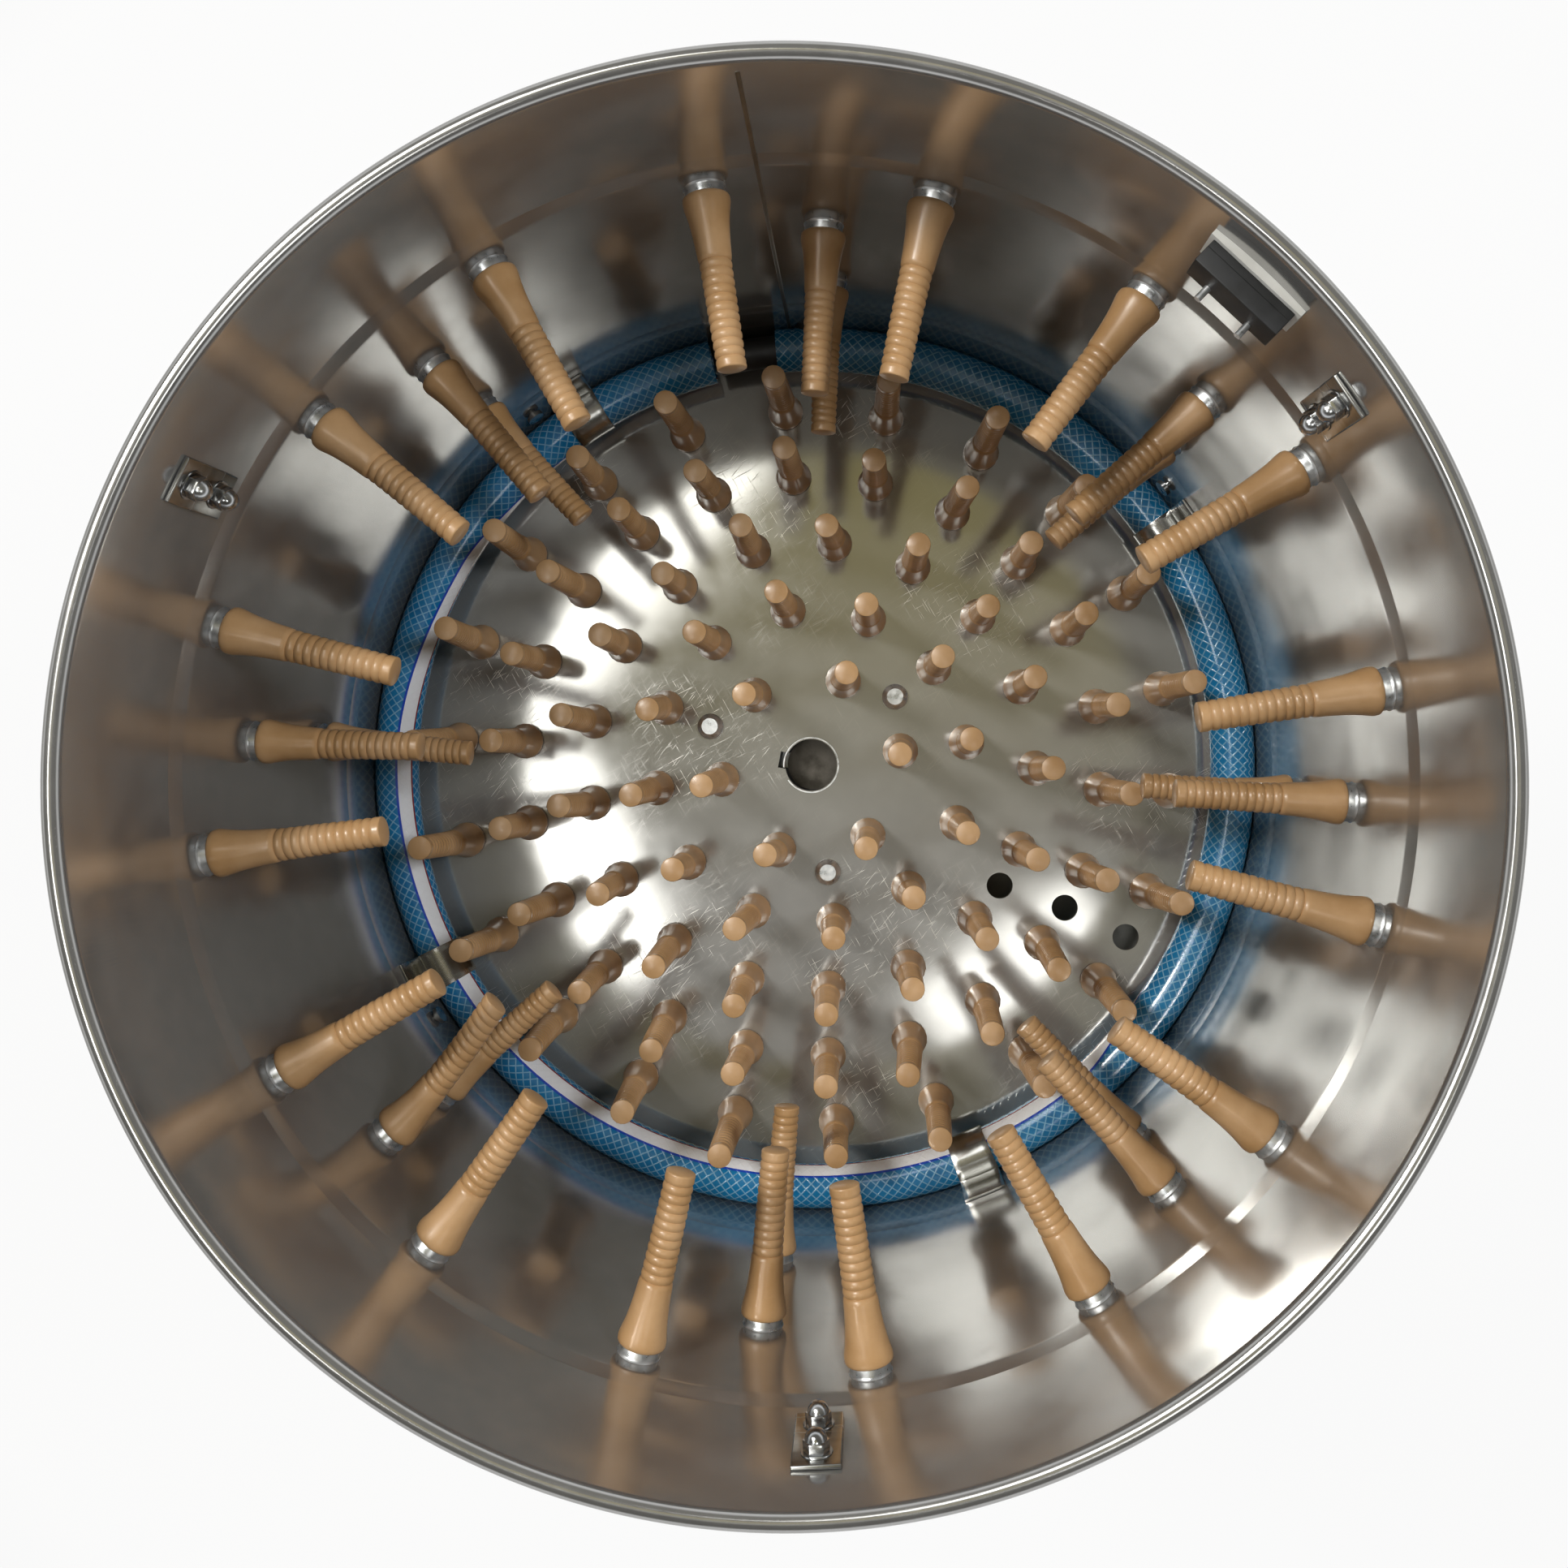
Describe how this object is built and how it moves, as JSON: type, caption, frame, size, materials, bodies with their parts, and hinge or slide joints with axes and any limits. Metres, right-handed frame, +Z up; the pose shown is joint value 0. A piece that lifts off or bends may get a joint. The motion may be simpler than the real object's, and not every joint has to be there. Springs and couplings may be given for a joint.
{
  "type": "drum poultry plucker",
  "caption": "Open stainless drum poultry plucker with rubber fingers in its wall and turning plate, a spray hose ring, belt drive in the skirt, feather chute and push buttons.",
  "frame": {"origin": "on the floor, under the drum's axis", "axes": "+Z up along the drum's axis, -Y towards the feather chute, +Y towards the controls"},
  "size_m": [0.597, 0.733, 0.86],
  "materials": {
    "stainless": "polished stainless sheet",
    "zinc_steel": "zinc plated",
    "bearing_steel": "ground steel",
    "finger_rubber": "smooth tan rubber",
    "black_rubber": "matt",
    "wheel_rubber": "matt",
    "cast_iron": "machined",
    "motor_paint": "semi-gloss paint",
    "winding": "varnished",
    "grey_paint": "semi-gloss paint",
    "black_plastic": "moulded",
    "white_plastic": "moulded",
    "green_plastic": "moulded",
    "red_plastic": "moulded",
    "blue_hose": "braided hose"
  },
  "bodies": {
    "base": {"drum": "stainless", "base_shell": "stainless", "feather_pan": "stainless", "feather_chute": "stainless", "hose_clips": "stainless", "bracket_plates": "stainless", "lid_lugs": "stainless", "seat_ring": "zinc_steel", "shell_bolts": "zinc_steel", "base_ring": "zinc_steel", "foot_posts": "zinc_steel", "caster_brackets": "zinc_steel", "caster_axles": "zinc_steel", "handle_lugs": "zinc_steel", "cross_beams": "zinc_steel", "drive_plate": "zinc_steel", "drive_bolts": "zinc_steel", "cover_screws": "zinc_steel", "clip_screws": "zinc_steel", "cap_nuts": "zinc_steel", "lug_bolts": "zinc_steel", "lid_switch_screws": "zinc_steel", "bearing_outer_races": "bearing_steel", "bearing_balls": "bearing_steel", "wall_fingers": "finger_rubber", "foot_pads": "black_rubber", "drive_belt": "black_rubber", "bearing_housing": "cast_iron", "motor_frame": "motor_paint", "motor_end_shield": "motor_paint", "motor_fan_cover": "motor_paint", "terminal_box": "motor_paint", "motor_stator": "winding", "control_box": "grey_paint", "control_cover": "grey_paint", "contact_blocks": "black_plastic", "cable_gland": "black_plastic", "hose_tee": "black_plastic", "lid_switch": "black_plastic", "lid_switch_pad": "white_plastic", "hose_ring": "blue_hose"},
    "turntable": {"feather_plate": "stainless", "plate_fingers": "finger_rubber", "plate_bolts": "zinc_steel", "plate_hub": "cast_iron", "main_shaft": "zinc_steel", "shaft_keys": "zinc_steel", "sweeper": "stainless", "drive_pulley": "cast_iron", "bearing_inner_races": "bearing_steel"},
    "motor": {"motor_rotor": "zinc_steel", "motor_fan": "black_plastic", "motor_pulley": "cast_iron"},
    "start": {"start_button": "green_plastic"},
    "stop": {"stop_button": "red_plastic"},
    "left_handle": {"handle_left": "zinc_steel"},
    "right_handle": {"handle_right": "zinc_steel"},
    "left_wheel": {"wheel_left": "wheel_rubber"},
    "right_wheel": {"wheel_right": "wheel_rubber"}
  },
  "joints": [
    {"name": "turntable_spin", "type": "hinge", "parent": "base", "child": "turntable", "pos_m": [0, 0, 0.511], "axis": [0, 0, 1], "continuous": true},
    {"name": "motor_spin", "type": "hinge", "parent": "base", "child": "motor", "pos_m": [0, 0.165, 0.3], "axis": [0, 0, 1], "continuous": true},
    {"name": "start_press", "type": "slide", "parent": "base", "child": "start", "axis": [0, -1, 0], "range_m": [0, 0.004], "stiffness_N_per_m": 400},
    {"name": "stop_press", "type": "slide", "parent": "base", "child": "stop", "axis": [0, -1, 0], "range_m": [0, 0.004], "stiffness_N_per_m": 600},
    {"name": "left_handle_lift", "type": "hinge", "parent": "base", "child": "left_handle", "pos_m": [-0.2865, 0, 0.42], "axis": [0, 1, 0], "range_deg": [0, 110]},
    {"name": "right_handle_lift", "type": "hinge", "parent": "base", "child": "right_handle", "pos_m": [0.2865, 0, 0.42], "axis": [0, -1, 0], "range_deg": [0, 110]},
    {"name": "left_wheel_roll", "type": "hinge", "parent": "base", "child": "left_wheel", "pos_m": [-0.1535, 0.18293, 0.0375], "axis": [1, 0, 0], "continuous": true},
    {"name": "right_wheel_roll", "type": "hinge", "parent": "base", "child": "right_wheel", "pos_m": [0.1535, 0.18293, 0.0375], "axis": [1, 0, 0], "continuous": true}
  ],
  "couplings": [
    {"joint": "motor_spin", "follows": "turntable_spin", "ratio": 5}
  ]
}
